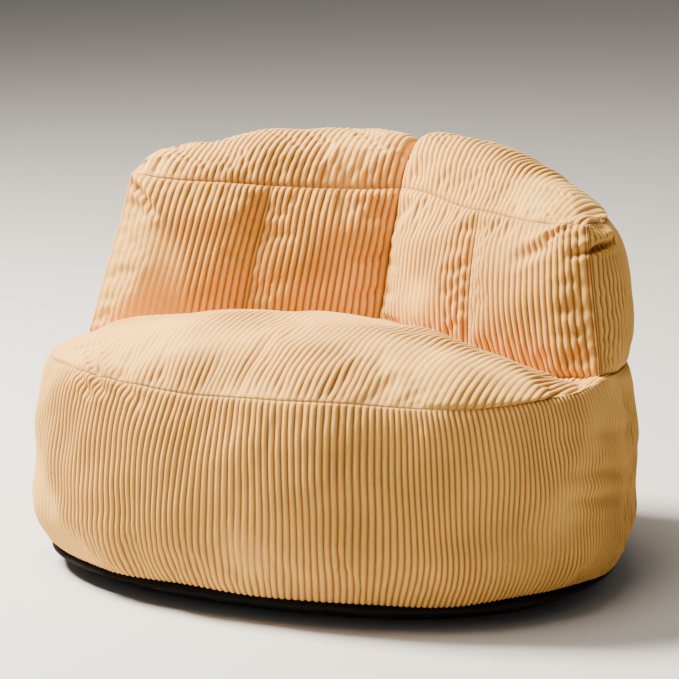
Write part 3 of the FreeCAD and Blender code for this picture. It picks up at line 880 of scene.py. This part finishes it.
def back_core_rings(side, inset):
    """Sections through one half of the backrest, from beside the centre baffle to near the arm."""
    b = np.linspace(SECTION_FROM, SECTION_TO, 9)
    rings = []
    for s in np.linspace(BACK_CORE_FROM, BACK_CORE_TO, 17):
        faces = [
            inner_place(side, np.full_like(b, s * INNER_LENGTH[-1]), b),
            top_place(side, np.full_like(b, s * SEAM_TOP_X), b),
            outer_place(side, np.full_like(b, s * OUTER_END), b[::-1]),
        ]
        section = np.concatenate(faces)
        rings.append(section + unit(section.mean(axis=0) - section) * inset)
    return rings


def core_piece(name, rings, slot, ripple, material):
    """A closed bag through rings of points, with the ripples of its cloth or the lumps of its fill."""
    p = np.stack(rings)
    count, steps = p.shape[:2]
    closed = np.concatenate([p, p[:, :1]], axis=1)
    n = normals(closed, 1)[:, :-1]
    p = p + n * (ripple * GATHERS(p))[..., None]
    index = np.arange(count * steps).reshape(count, steps)
    around = np.roll(index, -1, axis=1)
    corners = (index[:-1], around[:-1], around[1:], index[1:])
    faces = np.stack(corners, axis=-1).reshape(-1, 4).tolist()
    faces += [index[0, ::-1].tolist(), index[-1].tolist()]
    piece = new_object(name, p, faces)
    piece.data.shade_smooth()
    dress(piece, name, slot, material, 0.8)


# ---------------------------------------------------------------- materials


def new_material(name):
    material = bpy.data.materials.new(name)
    material.use_nodes = True
    nodes = material.node_tree.nodes
    return material, nodes, material.node_tree.links, nodes["Principled BSDF"]


def object_place(nodes):
    return nodes.new("ShaderNodeTexCoord").outputs["Object"]


def attribute_value(nodes, name):
    node = nodes.new("ShaderNodeAttribute")
    node.attribute_name = name
    return node.outputs["Fac"]


def add_bump(nodes, links, shader, height, strength, distance):
    bump = nodes.new("ShaderNodeBump")
    bump.inputs["Strength"].default_value = strength
    bump.inputs["Distance"].default_value = distance
    links.new(height, bump.inputs["Height"])
    links.new(bump.outputs["Normal"], shader.inputs["Normal"])


def noise(nodes, links, coordinates, scale, detail=3.0):
    texture = nodes.new("ShaderNodeTexNoise")
    texture.inputs["Scale"].default_value = scale
    texture.inputs["Detail"].default_value = detail
    links.new(coordinates, texture.inputs["Vector"])
    return texture.outputs["Fac"]


def mixed(nodes, links, blend, fac, a, b):
    """A colour mix. fac, a and b are sockets or plain values."""
    node = nodes.new("ShaderNodeMix")
    node.data_type = "RGBA"
    node.blend_type = blend
    for socket, value in ((node.inputs[0], fac), (node.inputs[6], a), (node.inputs[7], b)):
        if isinstance(value, bpy.types.NodeSocket):
            links.new(value, socket)
        else:
            socket.default_value = value
    return node.outputs[2]


def scaled(nodes, links, value, to_low, to_high, low=0.3, high=0.7):
    """Brings a value from between low and high, where most noise lies, to between the other two."""
    node = nodes.new("ShaderNodeMapRange")
    links.new(value, node.inputs["Value"])
    for name, number in zip(("From Min", "From Max", "To Min", "To Max"), (low, high, to_low, to_high)):
        node.inputs[name].default_value = number
    return node.outputs["Result"]


# The ribs' colour, with painted shade on their flanks and in their grooves.
RIDGE_COLOUR = (0.77, 0.43, 0.104, 1)
FLANK_SHADE_COLOUR = (0.59, 0.288, 0.063, 1)
GROOVE_SHADE_COLOUR = (0.27, 0.112, 0.024, 1)
SHEEN_TINT = (1.0, 0.68, 0.34, 1)
SEAM_SHADE = 0.32
BASE_COLOUR = (0.014, 0.014, 0.016, 1)
TAPE_COLOUR = (0.02, 0.02, 0.022, 1)
TEETH_COLOUR = (0.03, 0.03, 0.033, 1)
LINER_COLOUR = (0.80, 0.79, 0.76, 1)
FILL_COLOUR = (0.86, 0.84, 0.78, 1)
METAL_COLOUR = (0.42, 0.42, 0.44, 1)


def rib_colour(nodes, links, groove):
    """Painted shade, from the ribs' ridges over their flanks down into the grooves."""
    ramp = nodes.new("ShaderNodeValToRGB")
    ramp.color_ramp.elements[0].color = RIDGE_COLOUR
    ramp.color_ramp.elements[0].position = 0.05
    ramp.color_ramp.elements[1].color = GROOVE_SHADE_COLOUR
    ramp.color_ramp.elements[1].position = 0.9
    ramp.color_ramp.elements.new(0.45).color = FLANK_SHADE_COLOUR
    links.new(groove, ramp.inputs["Fac"])
    return ramp.outputs["Color"]


def corduroy_material():
    material, nodes, links, shader = new_material("corduroy")
    place = object_place(nodes)
    patches = scaled(nodes, links, noise(nodes, links, place, 9.0, 4.0), 0.80, 1.12)
    pile = scaled(nodes, links, noise(nodes, links, place, 900.0, 2.0), 0.82, 1.12)
    # The ribs' colour, with painted shade in their grooves.
    colour = rib_colour(nodes, links, attribute_value(nodes, "groove"))
    colour = mixed(nodes, links, "MULTIPLY", 1.0, colour, patches)
    colour = mixed(nodes, links, "MULTIPLY", 1.0, colour, pile)
    # Painted shade of the seams and creases, mixed in as the groove shade colour.
    shade = scaled(nodes, links, attribute_value(nodes, "seam"), 0.0, SEAM_SHADE, 0.0, 1.0)
    colour = mixed(nodes, links, "MIX", shade, colour, GROOVE_SHADE_COLOUR)
    links.new(colour, shader.inputs["Base Color"])
    add_bump(nodes, links, shader, noise(nodes, links, place, 1400.0, 2.0), 0.35, 0.0006)
    shader.inputs["Roughness"].default_value = 0.92
    shader.inputs["Specular IOR Level"].default_value = 0.15
    shader.inputs["Sheen Weight"].default_value = 0.16
    shader.inputs["Sheen Roughness"].default_value = 0.45
    shader.inputs["Sheen Tint"].default_value = SHEEN_TINT
    return material


def plain_cloth(name, colour, weave, roughness=0.9):
    material, nodes, links, shader = new_material(name)
    texture = noise(nodes, links, object_place(nodes), weave, 2.0)
    grain = scaled(nodes, links, texture, 0.8, 1.2)
    links.new(mixed(nodes, links, "MULTIPLY", 1.0, colour, grain), shader.inputs["Base Color"])
    add_bump(nodes, links, shader, grain, 0.3, 0.0004)
    shader.inputs["Roughness"].default_value = roughness
    shader.inputs["Specular IOR Level"].default_value = 0.2
    return material


def zip_metal():
    material, nodes, links, shader = new_material("zip_metal")
    texture = noise(nodes, links, object_place(nodes), 300.0)
    links.new(scaled(nodes, links, texture, 0.3, 0.5), shader.inputs["Roughness"])
    shader.inputs["Base Color"].default_value = METAL_COLOUR
    shader.inputs["Metallic"].default_value = 1.0
    return material


def paint_node(name, material):
    for slot in frame["nodes"][name].material_slots:
        slot.material = material


# ---------------------------------------------------------------- the pieces

panels = make_panels()
run_cloth(panels)
corduroy = corduroy_material()
for sewn in panels:
    corduroy_panel(sewn, corduroy)
base_cloth_piece(plain_cloth("base_cloth", BASE_COLOUR, 1500.0))

black_tape = plain_cloth("zip_tape", TAPE_COLOUR, 2500.0)
teeth = plain_cloth("zip_teeth", TEETH_COLOUR, 400.0, 0.4)
liner_cloth = plain_cloth("liner", LINER_COLOUR, 1200.0)
foam = plain_cloth("fill", FILL_COLOUR, 160.0)
metal = zip_metal()
for name in frame["nodes"]:
    if name.startswith("zip_tape"):
        paint_node(name, black_tape)
    elif name.startswith("zip_s"):
        paint_node(name, metal)
paint_node("centre_baffle", liner_cloth)
zip_teeth("upper", 1, teeth)
zip_teeth("lower", -1, teeth)
core_layers = ((LINER, liner_cloth), (FILL, foam))
for (slot, inset, ripple), material in core_layers:
    core_piece(f"seat_{slot}", seat_core_rings(inset), slot, ripple, material)
for side_name, side in SIDES:
    for (slot, inset, ripple), material in core_layers:
        core_piece(f"back_{slot}_{side_name}", back_core_rings(side, inset), slot, ripple, material)

# ---------------------------------------------------------------- floor, light and camera

VIEW_AZIMUTH, VIEW_ELEVATION = math.radians(25.0), math.radians(11.77)
CAMERA_DISTANCE = 4.6
CAMERA_LENS = 169.4
CAMERA_TARGET = (0, 0, 0.28)
CAMERA_SHIFT = (-0.0108, 0.0424)
FLOOR_REACH = 30.0
FLOOR_COLOUR = (0.56, 0.545, 0.52, 1)
WORLD_COLOUR, WORLD_STRENGTH = (1.0, 0.97, 0.93, 1), 0.18
LIGHT_COLOUR = (1.0, 0.93, 0.82)
LIGHTS = (  # name, place, the point it faces, size, watts
    ("key", (-2.4, -0.3, 3.3), (0, 0, 0.3), 1.1, 1000),
    ("overhead", (-0.2, -0.5, 3.6), (0, -0.1, 0.3), 1.8, 80),
    ("fill", (-0.6, -3.6, 1.8), (0, 0, 0.3), 2.5, 6),
)


def add_floor():
    r = FLOOR_REACH
    floor = new_object("floor", [(-r, -r, 0), (r, -r, 0), (r, r, 0), (-r, r, 0)], [(0, 1, 2, 3)])
    material, _, _, shader = new_material("floor")
    shader.inputs["Base Color"].default_value = FLOOR_COLOUR
    shader.inputs["Roughness"].default_value = 0.7
    floor.data.materials.append(material)


def add_world():
    world = bpy.data.worlds.new("studio")
    world.use_nodes = True
    background = world.node_tree.nodes["Background"]
    background.inputs["Color"].default_value = WORLD_COLOUR
    background.inputs["Strength"].default_value = WORLD_STRENGTH
    bpy.context.scene.world = world


def add_area_light(name, location, target, size, watts):
    light = bpy.data.lights.new(name, "AREA")
    light.energy = watts
    light.color = LIGHT_COLOUR
    light.size = size
    lamp = bpy.data.objects.new(name, light)
    lamp.location = location
    lamp.rotation_euler = (Vector(target) - Vector(location)).to_track_quat("-Z", "Y").to_euler()
    bpy.context.scene.collection.objects.link(lamp)


def add_camera():
    back = Vector((0, -math.cos(VIEW_ELEVATION), math.sin(VIEW_ELEVATION)))
    back.rotate(Euler((0, 0, VIEW_AZIMUTH)))
    camera = bpy.data.cameras.new("camera")
    camera.lens = CAMERA_LENS
    camera.sensor_width = 36.0
    camera.shift_x, camera.shift_y = CAMERA_SHIFT
    eye = bpy.data.objects.new("camera", camera)
    eye.location = Vector(CAMERA_TARGET) + back * CAMERA_DISTANCE
    eye.rotation_euler = (-back).to_track_quat("-Z", "Y").to_euler()
    bpy.context.scene.collection.objects.link(eye)
    bpy.context.scene.camera = eye


add_floor()
add_world()
for light_row in LIGHTS:
    add_area_light(*light_row)
add_camera()
